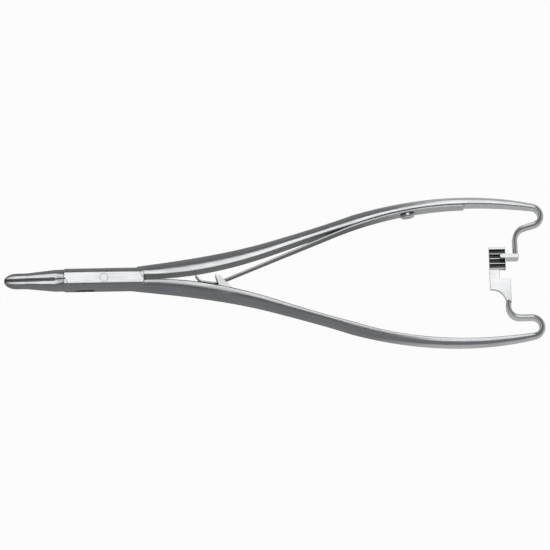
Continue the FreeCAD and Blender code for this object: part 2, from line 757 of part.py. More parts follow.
def leaf_spring(spring_path, rack_path):
    """The leaf spring: seated along the spring handle, then crossing to the stirrup's window."""
    body = add_body("leaf_spring")
    stand_off = "leaf_gap + leaf_thick / 2"
    tail, _ = beside(spring_path, 4, "tail_at", f"tail_thick / 2 + {stand_off}")
    seat, _ = beside(spring_path, 4, "screw_at", f"screw_thick / 2 + {stand_off}")
    start, _ = beside(spring_path, 4, "0", f"bend_thick / 2 + {stand_off}")
    window_height = "bar_thick / 2 + (window_sill + stirrup_height - window_lintel) / 2"
    base, inward = beside(rack_path, 2, "stirrup_at", window_height)
    back_along = Vector(inward.y, -inward.x, 0)
    window = base + back_along * value("window_at")
    window.y = -window.y
    walk = PathWalk(body, "leaf_path", "0", "0", "0", driven=False)
    seat_arc = Part.Arc(tail, seat, start)
    walk.append(seat_arc, 1, 2)
    heading = seat_arc.tangent(seat_arc.LastParameter)[0]
    walk.point = start
    walk.heading = math.atan2(heading.y, heading.x)
    radius = value("leaf_bend_radius")
    centre = start + left_of(walk.heading) * radius
    aim = window - centre
    turn = (math.atan2(aim.y, aim.x) + math.asin(radius / aim.Length) - walk.heading) % (2 * math.pi)
    reach = math.sqrt(aim.Length**2 - radius**2)
    walk.bend("leaf_bend_radius", str(math.degrees(turn)), 1)
    walk.run(f"{reach} + window_run")
    walk.bend("toe_radius", "toe_angle", -1)
    walk.run("toe_run")
    walk.bend("curl_radius", "curl_angle", -1)
    walk.run("curl_run")
    path = walk.sketch
    document.recompute()
    edges = len(path.Shape.Edges)
    sections = []
    places = [
        ("0", 1, "leaf_width"),
        ("0", 2, "leaf_width"),
        ("1", 3, "leaf_tip_width"),
        ("1", edges, "leaf_tip_width"),
    ]
    for number, (fraction, edge, width) in enumerate(places):
        section = section_sketch(body, f"leaf_section_{number}", path, edge, fraction)
        rectangle(section, "-leaf_thick / 2", "leaf_thick / 2", f"-{width} / 2", f"{width} / 2")
        sections.append(section)
    sweep(body, "leaf", path, range(1, edges + 1), sections)
    low, high = seat_arc.FirstParameter, seat_arc.LastParameter
    share = (seat_arc.parameter(seat) - low) / (high - low)
    hole = section_sketch(body, "screw_hole", path, 1, str(share))
    hole.AttachmentOffset = FreeCAD.Placement(Vector(0, 0, 0), Rotation(Vector(0, 1, 0), 90))
    circle(hole, "screw_diameter + 2 * screw_gap")
    pocket(body, hole, "leaf_thick * 4")
    return body


def spring_screw(spring_path):
    """The slotted screw that holds the leaf to the spring handle, head inwards."""
    body = add_body("spring_screw")
    under_head = "(leaf_gap + leaf_thick + head_gap)"
    head_top = "(leaf_gap + leaf_thick + head_gap + head_height)"
    profile = add_sketch(body, "screw_profile", XZ)
    outline(profile, [
        ("0", "-screw_length"),
        ("screw_diameter / 2", "-screw_length"),
        ("screw_diameter / 2", under_head),
        ("head_diameter / 2", under_head),
        ("head_diameter / 2", f"({head_top} - head_height / 3)"),
        ("head_diameter / 2 - head_height / 4", head_top),
        ("0", head_top),
    ])
    turning = body.newObject("PartDesign::Revolution", "screw_turning")
    turning.Profile = (profile, [""])
    turning.ReferenceAxis = (profile, ["V_Axis"])
    turning.Angle = 2 * HALF_TURN
    document.recompute()
    slot = add_sketch(body, "screw_slot", offset=head_top)
    rectangle(slot, "-head_diameter", "head_diameter", "-head_slot / 2", "head_slot / 2")
    pocket(body, slot, "head_slot", midplane=False)
    seat, inward = beside(spring_path, 4, "screw_at", "screw_thick / 2")
    seat.z = body.Placement.Base.z
    body.Placement = FreeCAD.Placement(seat, Rotation(Vector(0, 0, 1), inward))
    return body


def write_parts(bodies):
    """Checks every object and every solid, and only then writes the files."""
    document.recompute()
    failed = [item.Name for item in document.Objects if {"Invalid", "Error"} & set(item.State)]
    if failed:
        raise RuntimeError(f"not built: {failed}")
    for body in bodies:
        if body.Shape.isNull() or not body.Shape.isValid() or len(body.Shape.Solids) != 1:
            raise RuntimeError(f"{body.Label} is not one sound solid")
    os.makedirs("parts", exist_ok=True)
    for body in bodies:
        body.Shape.exportStep(f"parts/{body.Label}.step")


box, rack_path = box_half()
tongue, spring_path = tongue_half()
upper_insert = jaw_insert("upper_jaw_insert")
upper_insert.Placement = FreeCAD.Placement(upper_insert.Placement.Base, box.Placement.Rotation)
write_parts([
    box,
    tongue,
    joint_pin(),
    upper_insert,
    jaw_insert("lower_jaw_insert"),
    leaf_spring(spring_path, rack_path),
    spring_screw(spring_path),
])
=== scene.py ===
"""Looks of the palm-handled needle holder: finishes, jaws, bending leaf, light and camera.

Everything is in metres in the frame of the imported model: the joint's axis stands at the origin,
the jaws point to -X, the spring's handle is at +Y and the instrument lies on z = 0.
"""

import logging
import math
from dataclasses import dataclass
from enum import Enum

import bmesh
import bpy
from mathutils import Matrix, Vector


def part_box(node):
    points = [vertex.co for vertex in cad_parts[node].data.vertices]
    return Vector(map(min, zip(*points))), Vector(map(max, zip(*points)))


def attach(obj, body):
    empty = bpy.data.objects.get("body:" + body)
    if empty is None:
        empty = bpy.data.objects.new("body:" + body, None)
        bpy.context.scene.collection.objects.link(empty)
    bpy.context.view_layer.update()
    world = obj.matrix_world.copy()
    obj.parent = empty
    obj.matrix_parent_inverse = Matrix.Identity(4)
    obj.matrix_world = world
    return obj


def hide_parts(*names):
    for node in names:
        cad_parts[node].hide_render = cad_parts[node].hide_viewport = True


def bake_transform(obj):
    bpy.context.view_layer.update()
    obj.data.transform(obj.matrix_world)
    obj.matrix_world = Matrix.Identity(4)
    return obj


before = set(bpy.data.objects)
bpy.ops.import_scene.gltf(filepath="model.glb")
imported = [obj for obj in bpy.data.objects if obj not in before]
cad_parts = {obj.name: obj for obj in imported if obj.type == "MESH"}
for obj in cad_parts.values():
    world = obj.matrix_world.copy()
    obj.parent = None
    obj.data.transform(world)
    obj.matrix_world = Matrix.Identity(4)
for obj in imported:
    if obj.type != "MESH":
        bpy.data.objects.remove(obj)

LOG = logging.getLogger("needle_holder")
MM = 0.001
# Corners nearer to each other than this are one corner of a solid from the frame.
WELD = 0.0005 * MM
# The same for a mesh that has been worked on.
WORKED_WELD = 0.001 * MM
# A corner this near to a cutting plane lies on it.
CUT_SLACK = 0.002 * MM
# Sockets of a Mix node, which keeps a set of them for each kind of value.
MIX_SHARE = 0
MIX_NUMBER_A, MIX_NUMBER_B, MIX_NUMBER_OUT = 2, 3, 0
MIX_COLOUR_A, MIX_COLOUR_B, MIX_COLOUR_OUT = 6, 7, 2


def linear(code: str) -> tuple[float, float, float, float]:
    """Turns a colour code into the linear values that a shader takes.

    Args:
        code: an sRGB colour such as "#C4C6C7".

    Returns:
        Red, green, blue and an alpha of 1.
    """
    parts = [int(code[start : start + 2], 16) / 255 for start in (1, 3, 5)]
    red, green, blue = (
        part / 12.92 if part <= 0.04045 else ((part + 0.055) / 1.055) ** 2.4 for part in parts
    )
    return red, green, blue, 1.0


def add_node(
    tree: bpy.types.NodeTree,
    kind: str,
    links: dict[str | int, bpy.types.NodeSocket] | None = None,
    values: dict[str | int, object] | None = None,
    **settings: object,
) -> bpy.types.Node:
    """Adds one node with its settings, values and incoming links.

    Args:
        tree: the tree that the node goes into.
        kind: the node's type name.
        links: sockets that feed this node's inputs, by input name or number.
        values: numbers or colours for this node's inputs, by input name or number.
        settings: properties of the node itself.

    Returns:
        The new node.
    """
    node = tree.nodes.new(kind)
    for name, value in settings.items():
        setattr(node, name, value)
    for key, value in (values or {}).items():
        node.inputs[key].default_value = value
    for key, socket in (links or {}).items():
        tree.links.new(socket, node.inputs[key])
    return node


class Lay(Enum):
    """Which way the polishing belt ran over a piece, as the scale of its lines on each axis."""

    ALONG = (0.04, 1.0, 1.0)
    NONE = (1.0, 1.0, 1.0)


@dataclass(frozen=True)
class SteelFinish:
    """A metal finish: colours, gloss, the lines left by the belt, broken edges and painted shade in
    seams.

    Each span holds the values between which an effect runs. The metal dulls as the lines and
    patches, added up, grow over dull_span. It is worn as the rounded edge turns away from its face,
    from the first value of wear_span to the second. Shade is painted dark into seams and corners
    up to the first value of its span, for how open a place lies, and is gone at the second.
    """

    name: str
    colour: str
    dull_colour: str
    edge_colour: str
    roughness: float
    roughness_spread: float
    edge_roughness: float
    grit_mm: float
    line_depth_mm: float
    edge_mm: float
    lay: Lay
    patch_mm: float = 14.0
    line_detail: float = 3.0
    line_spread: float = 0.6
    patch_detail: float = 2.0
    patch_spread: float = 0.5
    # Painted shade: within this reach, places with little open round them are darkened towards the
    # colour below, as shade falls in seams and corners.
    shade_reach_mm: float = 1.2
    painted_shade_colour: str = "#3B3A38"
    dull_span: tuple[float, float] = (0.7, 1.3)
    wear_span: tuple[float, float] = (0.99, 0.8)
    # How open a place is where the painted shade is full, and where it is gone.
    painted_shade_span: tuple[float, float] = (0.3, 0.85)
    samples: int = 6

    def build(self) -> bpy.types.Material:
        """Builds the material.

        Returns:
            A metal whose gloss and height vary in lines along the lay, and whose edges are
            rounded off and polished brighter by handling.
        """
        material = bpy.data.materials.new(self.name)
        material.use_nodes = True
        tree = material.node_tree
        tree.nodes.clear()
        place = add_node(tree, "ShaderNodeTexCoord")
        turned = add_node(
            tree,
            "ShaderNodeMapping",
            links={"Vector": place.outputs["Object"]},
            values={"Scale": self.lay.value},
        )
        lines = add_node(
            tree,
            "ShaderNodeTexNoise",
            links={"Vector": turned.outputs["Vector"]},
            values={
                "Scale": 1 / (self.grit_mm * MM),
                "Detail": self.line_detail,
                "Roughness": self.line_spread,
            },
        )
        patches = add_node(
            tree,
            "ShaderNodeTexNoise",
            links={"Vector": place.outputs["Object"]},
            values={
                "Scale": 1 / (self.patch_mm * MM),
                "Detail": self.patch_detail,
                "Roughness": self.patch_spread,
            },
        )
        both = add_node(
            tree,
            "ShaderNodeMath",
            links={0: lines.outputs["Fac"], 1: patches.outputs["Fac"]},
            operation="ADD",
        )
        dullness = add_node(
            tree,
            "ShaderNodeMapRange",
            links={"Value": both.outputs["Value"]},
            values={"From Min": self.dull_span[0], "From Max": self.dull_span[1]},
        ).outputs["Result"]
        wear = self._edge_wear(tree)
        colour = self._colour(tree, dullness, wear)
        gloss = self._gloss(tree, dullness, wear)
        relief = add_node(
            tree,
            "ShaderNodeBump",
            links={"Height": lines.outputs["Fac"], "Normal": self._rounded(tree).outputs["Normal"]},
            values={"Strength": 1.0, "Distance": self.line_depth_mm * MM},
        )
        shader = add_node(
            tree,
            "ShaderNodeBsdfPrincipled",
            links={"Base Color": colour, "Roughness": gloss, "Normal": relief.outputs["Normal"]},
            values={"Metallic": 1.0},
        )
        add_node(tree, "ShaderNodeOutputMaterial", links={"Surface": shader.outputs["BSDF"]})
        return material

    def _rounded(self, tree: bpy.types.NodeTree) -> bpy.types.Node:
        """Rounds the shading over each edge, as a broken edge does.

        Args:
            tree: the material's tree.

        Returns:
            The node that gives the rounded normal.
        """
        radius = self.edge_mm * MM
        return add_node(tree, "ShaderNodeBevel", values={"Radius": radius}, samples=self.samples)

    def _edge_wear(self, tree: bpy.types.NodeTree) -> bpy.types.NodeSocket:
        """Finds the edges, where the rounded shading leaves the true face.

        Args:
            tree: the material's tree.

        Returns:
            A value that rises from 0 on a face to 1 on an edge.
        """
        surface = add_node(tree, "ShaderNodeNewGeometry")
        agreement = add_node(
            tree,
            "ShaderNodeVectorMath",
            links={0: self._rounded(tree).outputs["Normal"], 1: surface.outputs["Normal"]},
            operation="DOT_PRODUCT",
        )
        wear = add_node(
            tree,
            "ShaderNodeMapRange",
            links={"Value": agreement.outputs["Value"]},
            values={"From Min": self.wear_span[0], "From Max": self.wear_span[1]},
        )
        return wear.outputs["Result"]

    def _colour(
        self, tree: bpy.types.NodeTree, dullness: bpy.types.NodeSocket, wear: bpy.types.NodeSocket
    ) -> bpy.types.NodeSocket:
        """Mixes the colour: duller in lines and patches, brighter on edges, with shade painted dark
        into seams and corners.

        Args:
            tree: the material's tree.
            dullness: the lines and patches, 0 to 1.
            wear: the edges, 0 to 1.

        Returns:
            The colour.
        """
        body = add_node(
            tree,
            "ShaderNodeMix",
            links={MIX_SHARE: dullness},
            values={MIX_COLOUR_A: linear(self.colour), MIX_COLOUR_B: linear(self.dull_colour)},
            data_type="RGBA",
        )
        edged = add_node(
            tree,
            "ShaderNodeMix",
            links={MIX_SHARE: wear, MIX_COLOUR_A: body.outputs[MIX_COLOUR_OUT]},
            values={MIX_COLOUR_B: linear(self.edge_colour)},
            data_type="RGBA",
        )
        # Painted shade: where ambient occlusion finds little open round a place, in seams and
        # corners, the colour is mixed towards a dark one.
        openness = add_node(
            tree,
            "ShaderNodeAmbientOcclusion",
            values={"Distance": self.shade_reach_mm * MM},
            samples=self.samples,
        )
        painted_shade = add_node(
            tree,
            "ShaderNodeMapRange",
            links={"Value": openness.outputs["AO"]},
            values={
                "From Min": self.painted_shade_span[0],
                "From Max": self.painted_shade_span[1],
                "To Min": 1.0,
                "To Max": 0.0,
            },
        )
        with_painted_shade = add_node(
            tree,
            "ShaderNodeMix",
            links={MIX_SHARE: painted_shade.outputs["Result"], MIX_COLOUR_A: edged.outputs[MIX_COLOUR_OUT]},
            values={MIX_COLOUR_B: linear(self.painted_shade_colour)},
            data_type="RGBA",
        )
        return with_painted_shade.outputs[MIX_COLOUR_OUT]

    def _gloss(
        self, tree: bpy.types.NodeTree, dullness: bpy.types.NodeSocket, wear: bpy.types.NodeSocket
    ) -> bpy.types.NodeSocket:
        """Varies the roughness with the lines and patches, and lowers it on edges.

        Args:
            tree: the material's tree.
            dullness: the lines and patches, 0 to 1.
            wear: the edges, 0 to 1.

        Returns:
            The roughness.
        """
        face = add_node(
            tree,
            "ShaderNodeMapRange",
            links={"Value": dullness},
            values={
                "To Min": self.roughness - self.roughness_spread,
                "To Max": self.roughness + self.roughness_spread,
            },
        )
        edged = add_node(
            tree,
            "ShaderNodeMix",
            links={MIX_SHARE: wear, MIX_NUMBER_A: face.outputs["Result"]},
            values={MIX_NUMBER_B: self.edge_roughness},
            data_type="FLOAT",
        )
        return edged.outputs[MIX_NUMBER_OUT]


# Martensitic stainless steel, belt polished and then satin brushed along its length: bright, with
# a soft streak along the bars. The brush lines are drawn a third of a millimetre apart so that
# they show; the real ones are finer.
SATIN_STEEL = SteelFinish(
    name="satin_stainless_steel",
    colour="#E2E3E4",
    dull_colour="#C9CBCC",
    edge_colour="#ECEDED",
    roughness=0.2,
    roughness_spread=0.07,
    edge_roughness=0.12,
    grit_mm=0.35,
    line_depth_mm=0.004,
    edge_mm=0.28,
    lay=Lay.ALONG,
)
# The same steel mirror polished: sharper reflections on the screw's head.
POLISHED_STEEL = SteelFinish(
    name="polished_stainless_steel",
    colour="#E6E7E8",
    dull_colour="#DADCDD",
    edge_colour="#F0F0F0",
    roughness=0.12,
    roughness_spread=0.04,
    edge_roughness=0.08,
    grit_mm=0.5,
    line_depth_mm=0.002,
    edge_mm=0.3,
    lay=Lay.ALONG,
)
# Spring-tempered strip with tumbled edges, for the leaf: a shade darker, and round along its
# rims. Its brush lines are drawn coarser than the real ones too.
SPRING_STEEL = SteelFinish(
    name="tempered_spring_steel",
    colour="#C4C6C7",
    dull_colour="#AFB1B2",
    edge_colour="#CFD0D1",
    roughness=0.16,
    roughness_spread=0.05,
    edge_roughness=0.12,
    grit_mm=0.4,
    line_depth_mm=0.003,
    edge_mm=0.5,
    lay=Lay.ALONG,
)
# The ratchet's tooth flanks, milled and dull, and drawn dark between their polished lands.
MILLED_STEEL = SteelFinish(
    name="as_milled_steel",
    colour="#4E5052",
    dull_colour="#3E4041",
    edge_colour="#6A6C6D",
    roughness=0.4,
    roughness_spread=0.08,
    edge_roughness=0.3,
    grit_mm=0.3,
    line_depth_mm=0.006,
    edge_mm=0.06,
    lay=Lay.ALONG,
)
# Cemented tungsten carbide, ground: darker and duller than the steel round it.
CARBIDE = SteelFinish(
    name="ground_tungsten_carbide",
    colour="#7A7B7D",
    dull_colour="#68696B",
    edge_colour="#939496",
    roughness=0.4,
    roughness_spread=0.07,
    edge_roughness=0.3,
    grit_mm=0.25,
    line_depth_mm=0.004,
    edge_mm=0.05,
    lay=Lay.NONE,
)


def dress(piece: bpy.types.Object, material: bpy.types.Material) -> None:
    """Gives a piece one material in all its slots.

    Args:
        piece: the object to dress.
        material: what it is made of.
    """
    piece.data.materials.clear()
    piece.data.materials.append(material)


def merged_copy(node: str, name: str) -> bpy.types.Object:
    """Copies a CAD node's mesh with its loose triangles joined up and no stored normals.

    Args:
        node: the CAD node's name.
        name: the new piece's name.

    Returns:
        The copy, at the origin, with no parent.
    """
    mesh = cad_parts[node].data.copy()
    mesh.name = name
    if mesh.has_custom_normals:
        mesh.attributes.remove(mesh.attributes["custom_normal"])
    work = bmesh.new()
    work.from_mesh(mesh)
    bmesh.ops.remove_doubles(work, verts=work.verts, dist=WELD)
    work.to_mesh(mesh)
    work.free()
    piece = bpy.data.objects.new(name, mesh)
    bpy.context.scene.collection.objects.link(piece)
    return piece


def sliced(
    work: bmesh.types.BMesh, faces: list[bmesh.types.BMFace], places: list[float]
) -> None:
    """Cuts faces along planes across X, so that their shape can be worked.

    Args:
        work: the mesh being worked.
        faces: the faces to cut.
        places: where the planes stand.
    """
    across = Vector((1, 0, 0))
    for place in places:
        edges = {edge for face in faces for edge in face.edges}
        corners = {corner for face in faces for corner in face.verts}
        cut = bmesh.ops.bisect_plane(
            work,
            geom=[*corners, *edges, *faces],
            plane_co=across * place,
            plane_no=across,
            dist=CUT_SLACK,
        )
        faces = [item for item in cut["geom"] if isinstance(item, bmesh.types.BMFace)]


@dataclass
class JawNose:
    """The full bullet nose of the jaws, rounded over from the plain taper of the frame.

    The nose keeps its half width up to swell_x and then rounds in as an ellipse towards the
    tip, where a least half width is left. What lies within the seat of the insert stays as it
    is. The stations are where the faces are cut so that they can follow the curve.
    """

    start_x: float = -28.5 * MM
    swell_x: float = -32.5 * MM
    tip_x: float = -37.1 * MM
    half_width: float = 2.97 * MM
    least: float = 0.72 * MM
    seat: float = 0.62 * MM
    slack: float = 0.01 * MM
    stations_mm: tuple[float, ...] = (-30.0, -31.3, -32.5, -33.4, -34.2, -34.9, -35.5)

    def plain_outline(self, work: bmesh.types.BMesh) -> list[Vector]:
        """Finds the plain outline of the frame's nose, which bulges outwards all the way.

        Args:
            work: the mesh of the half with the jaw.

        Returns:
            Places along the jaw with the half width there, from the nose's start to its tip.
        """
        corners = [corner.co for corner in work.verts if corner.co.x < self.start_x + self.slack]
        outline: list[Vector] = []
        for x, width in sorted(((place.x, abs(place.y)) for place in corners), reverse=True):
            reached = Vector((x, width))
            while len(outline) > 1 and self.dents(outline[-2], outline[-1], reached):
                outline.pop()
            outline.append(reached)
        return outline

    @staticmethod
    def dents(before: Vector, point: Vector, after: Vector) -> bool:
        """Tells whether a point of the outline lies on or inside the line of its neighbours.

        Args:
            before: the neighbour on the joint's side.
            point: the point.
            after: the neighbour on the tip's side.

        Returns:
            True where the outline would be dented at the point, or straight.
        """
        run, turn = point - before, after - point
        return run.x * turn.y - run.y * turn.x <= 0

    def plain_width(self, outline: list[Vector], x: float) -> float:
        """Half the width of the frame's plain nose at a place.

        Args:
            outline: the plain outline, from the nose's start to its tip.
            x: the place along the jaw.

        Returns:
            The half width.
        """
        for near, far in zip(outline, outline[1:]):
            if x >= far.x:
                return near.y + (far.y - near.y) * (near.x - x) / (near.x - far.x)
        return outline[-1].y

    def full_width(self, x: float) -> float:
        """Half the width of the bullet nose at a place.

        Args:
            x: the place along the jaw.

        Returns:
            The half width.
        """
        if x > self.swell_x:
            return self.half_width
        run = min((self.swell_x - x) / (self.swell_x - self.tip_x), 1.0)
        return max(self.half_width * math.sqrt(1 - run * run), self.least)

    def turn(self, work: bmesh.types.BMesh) -> None:
        """Rounds the nose of a jaw.

        Args:
            work: the mesh of the half with the jaw.
        """
        jaw = [
            face
            for face in work.faces
            if min(corner.co.x for corner in face.verts) < self.start_x
        ]
        sliced(work, jaw, [place * MM for place in self.stations_mm])
        outline = self.plain_outline(work)
        for place in (corner.co for corner in work.verts):
            proud = abs(place.y) - self.seat
            if place.x < self.start_x - self.slack and proud > 0:
                plain = self.plain_width(outline, place.x) - self.seat
                full = self.full_width(place.x) - self.seat
                place.y = math.copysign(self.seat + proud * full / plain, place.y)


@dataclass
class RatchetTeeth:
    """The rack's teeth, whose flanks are left as milled between the polished lands.

    A flank is a face whose middle lies between two corners of a box round the teeth and
    that tilts from the rack's top.
    """

    finish: bpy.types.Material
    low: tuple[float, float, float] = (141.5 * MM, 0.2 * MM, 3.9 * MM)
    high: tuple[float, float, float] = (148.5 * MM, 9.8 * MM, 5.1 * MM)
    least_tilt: float = 0.2

    def mark(self, mesh: bpy.types.Mesh) -> None:
        """Gives the tooth flanks their own finish.

        Args:
            mesh: the mesh of the half with the rack.
        """
        mesh.materials.append(self.finish)
        for polygon in mesh.polygons:
            spans = zip(self.low, polygon.center, self.high)
            inside = all(low < place < high for low, place, high in spans)
            if inside and abs(polygon.normal.y) > self.least_tilt:
                polygon.material_index = 1


@dataclass
class Forging:
    """A steel piece as the frame has it, with its jaw's nose rounded over and no facets.

    Where the jaw leaves the box, corners that are less than a step apart become one, so that
    no hairline of its own shading shows there.
    """

    node: str
    body: str
    finish: bpy.types.Material
    slot: str = "satin_steel"
    teeth: RatchetTeeth | None = None
    crease_deg: float = 32.0
    box_end: float = -14.7 * MM
    box_end_slack: float = 0.02 * MM
    root_step: float = 0.15 * MM

    def close_root(self, work: bmesh.types.BMesh) -> None:
        """Joins the corners of the fine step between the jaw and the box.

        Args:
            work: the mesh of the piece.
        """
        root = [
            corner
            for corner in work.verts
            if abs(corner.co.x - self.box_end) < self.box_end_slack
        ]
        bmesh.ops.remove_doubles(work, verts=root, dist=self.root_step)
        bmesh.ops.dissolve_degenerate(work, edges=work.edges[:], dist=WORKED_WELD)

    def smooth(self, piece: bpy.types.Object) -> None:
        """Shades the piece smooth up to its creases, with its large faces kept flat.

        Args:
            piece: the piece, with its mesh done.
        """
        for polygon in piece.data.polygons:
            polygon.use_smooth = True
        piece.data.set_sharp_from_angle(angle=math.radians(self.crease_deg))
        even = piece.modifiers.new("even_shading", "WEIGHTED_NORMAL")
        even.mode = "FACE_AREA"
        even.keep_sharp = True

    def build(self) -> bpy.types.Object:
        """Copies the piece, rounds its nose, smooths its shading and dresses it.

        Returns:
            The piece that stands for the node.
        """
        piece = merged_copy(self.node, f"{self.node}_satin")
        work = bmesh.new()
        work.from_mesh(piece.data)
        self.close_root(work)
        JawNose().turn(work)
        bmesh.ops.triangulate(work, faces=work.faces[:])
        work.to_mesh(piece.data)
        work.free()
        self.smooth(piece)
        dress(piece, self.finish)
        if self.teeth:
            self.teeth.mark(piece.data)
        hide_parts(self.node)
        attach(piece, self.body)
        LOG.info("%s: %d faces", piece.name, len(piece.data.polygons))
        return piece


@dataclass
class SerratedInsert:
    """A jaw's insert, whose face is cut across and across into small pyramids."""

    node: str
    body: str
    side: int
    finish: bpy.types.Material
    heel_x: float = -18.3 * MM
    waist_x: float = -28.5 * MM
    tip_x: float = -37.1 * MM
    heel_width: float = 5.0 * MM
    waist_width: float = 3.6 * MM
    tip_width: float = 2.6 * MM
    tip_radius: float = 1.2 * MM
    thickness: float = 0.6 * MM
    pitch: float = 0.5 * MM
    valley: float = 0.16 * MM
    middle_z: float = 3.5 * MM

    def rows(self) -> int:
        """Steps of half a pitch along the insert."""
        return round((self.heel_x - self.tip_x) / (self.pitch / 2))

    def tree(self) -> bpy.types.NodeTree:
        """Builds the node tree that lays out and closes the serrated slab.

        Every second corner of a grid, counted along the rows and across them, is a valley.

        Returns:
            A tree whose inputs are the slab's sizes.
        """
        tree = bpy.data.node_groups.new("serrated_insert", "GeometryNodeTree")
        sockets = {
            "Length": self.heel_x - self.tip_x,
            "Width": 1.0,
            "Thickness": self.thickness,
            "Valley": self.valley,
        }
        for name, size in sockets.items():
            item = tree.interface.new_socket(name, in_out="INPUT", socket_type="NodeSocketFloat")
            item.default_value = size
        for name in ("Rows", "Columns"):
            tree.interface.new_socket(name, in_out="INPUT", socket_type="NodeSocketInt")
        tree.interface.new_socket("Finish", in_out="INPUT", socket_type="NodeSocketMaterial")
        tree.interface.new_socket("Geometry", in_out="OUTPUT", socket_type="NodeSocketGeometry")
        given = add_node(tree, "NodeGroupInput")
        grid = add_node(
            tree,
            "GeometryNodeMeshGrid",
            links={
                "Size X": given.outputs["Length"],
                "Size Y": given.outputs["Width"],
                "Vertices X": given.outputs["Rows"],
                "Vertices Y": given.outputs["Columns"],
            },
        )
        number = add_node(tree, "GeometryNodeInputIndex")
        row = add_node(
            tree,
            "ShaderNodeMath",
            links={0: number.outputs["Index"], 1: given.outputs["Columns"]},
            operation="DIVIDE",
        )
        whole_row = add_node(
            tree, "ShaderNodeMath", links={0: row.outputs["Value"]}, operation="FLOOR"
        )
        in_row = add_node(
            tree,
            "ShaderNodeMath",
            links={0: number.outputs["Index"], 1: given.outputs["Columns"]},
            operation="MODULO",
        )
        both = add_node(
            tree,
            "ShaderNodeMath",
            links={0: whole_row.outputs["Value"], 1: in_row.outputs["Value"]},
            operation="ADD",
        )
        parity = add_node(
            tree,
            "ShaderNodeMath",
            links={0: both.outputs["Value"]},
            values={1: 2.0},
            operation="MODULO",
        )
        low = add_node(
            tree,
            "ShaderNodeMath",
            links={0: parity.outputs["Value"], 1: given.outputs["Valley"]},
            operation="MULTIPLY",
        )
        height = add_node(
            tree,
            "ShaderNodeMath",
            links={0: given.outputs["Thickness"], 1: low.outputs["Value"]},
            operation="SUBTRACT",
        )
        lift = add_node(tree, "ShaderNodeCombineXYZ", links={"Z": height.outputs["Value"]})
        raised = add_node(
            tree,
            "GeometryNodeExtrudeMesh",
            links={"Mesh": grid.outputs["Mesh"], "Offset": lift.outputs["Vector"]},
            values={"Individual": False},
        )
        back = add_node(tree, "GeometryNodeFlipFaces", links={"Mesh": grid.outputs["Mesh"]})
        closed = add_node(tree, "GeometryNodeJoinGeometry")
        tree.links.new(raised.outputs["Mesh"], closed.inputs["Geometry"])
        tree.links.new(back.outputs["Mesh"], closed.inputs["Geometry"])
        welded = add_node(
            tree,
            "GeometryNodeMergeByDistance",
            links={"Geometry": closed.outputs["Geometry"]},
            values={"Distance": WORKED_WELD},
        )
        real = add_node(
            tree,
            "GeometryNodeRealizeInstances",
            links={"Geometry": welded.outputs["Geometry"]},
        )
        dressed = add_node(
            tree,
            "GeometryNodeSetMaterial",
            links={"Geometry": real.outputs["Geometry"], "Material": given.outputs["Finish"]},
        )
        add_node(tree, "NodeGroupOutput", links={"Geometry": dressed.outputs["Geometry"]})
        return tree

    def half_width(self, x: float) -> float:
        """Half the insert's width at a place along the jaw.

        Args:
            x: the place along the jaw.

        Returns:
            The half width, with the tip's rounded corners taken off.
        """
        if x > self.waist_x:
            share = (self.heel_x - x) / (self.heel_x - self.waist_x)
            width = self.heel_width + (self.waist_width - self.heel_width) * share
        else:
            share = (self.waist_x - x) / (self.waist_x - self.tip_x)
            width = self.waist_width + (self.tip_width - self.waist_width) * share
        short = self.tip_radius - (x - self.tip_x)
        if short > 0:
            return width / 2 - self.tip_radius + math.sqrt(self.tip_radius**2 - short**2)
        return width / 2

    def build(self) -> bpy.types.Object:
        """Makes the slab, brings it to the jaw's outline and sets it in its seat.

        Returns:
            The piece that stands for the insert.
        """
        low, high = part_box(self.node)
        columns = 2 * round(self.heel_width / self.pitch) + 1
        holder = bpy.data.objects.new(f"{self.node}_grid", bpy.data.meshes.new("grid"))
        bpy.context.scene.collection.objects.link(holder)
        modifier = holder.modifiers.new("serrations", "NODES")
        modifier.node_group = self.tree()
        values = {
            "Length": self.heel_x - self.tip_x,
            "Width": 1.0,
            "Thickness": high.y - low.y,
            "Valley": self.valley,
            "Rows": self.rows() + 1,
            "Columns": columns,
            "Finish": self.finish,
        }
        for item in modifier.node_group.interface.items_tree:
            if item.in_out == "INPUT":
                modifier[item.identifier] = values[item.name]
        bpy.context.view_layer.update()
        evaluated = holder.evaluated_get(bpy.context.evaluated_depsgraph_get())
        mesh = bpy.data.meshes.new_from_object(evaluated)
        bpy.data.objects.remove(holder)
        seat = high.y if self.side > 0 else low.y
        for vertex in mesh.vertices:
            x = vertex.co.x + (self.heel_x + self.tip_x) / 2
            across = vertex.co.y * 2 * self.half_width(x)
            vertex.co = (x, seat - self.side * vertex.co.z, self.middle_z + self.side * across)
        piece = bpy.data.objects.new(f"{self.node}_serrated", mesh)
        bpy.context.scene.collection.objects.link(piece)
        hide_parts(self.node)
        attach(piece, self.body)
        LOG.info("%s: %d faces", piece.name, len(mesh.polygons))
        return piece


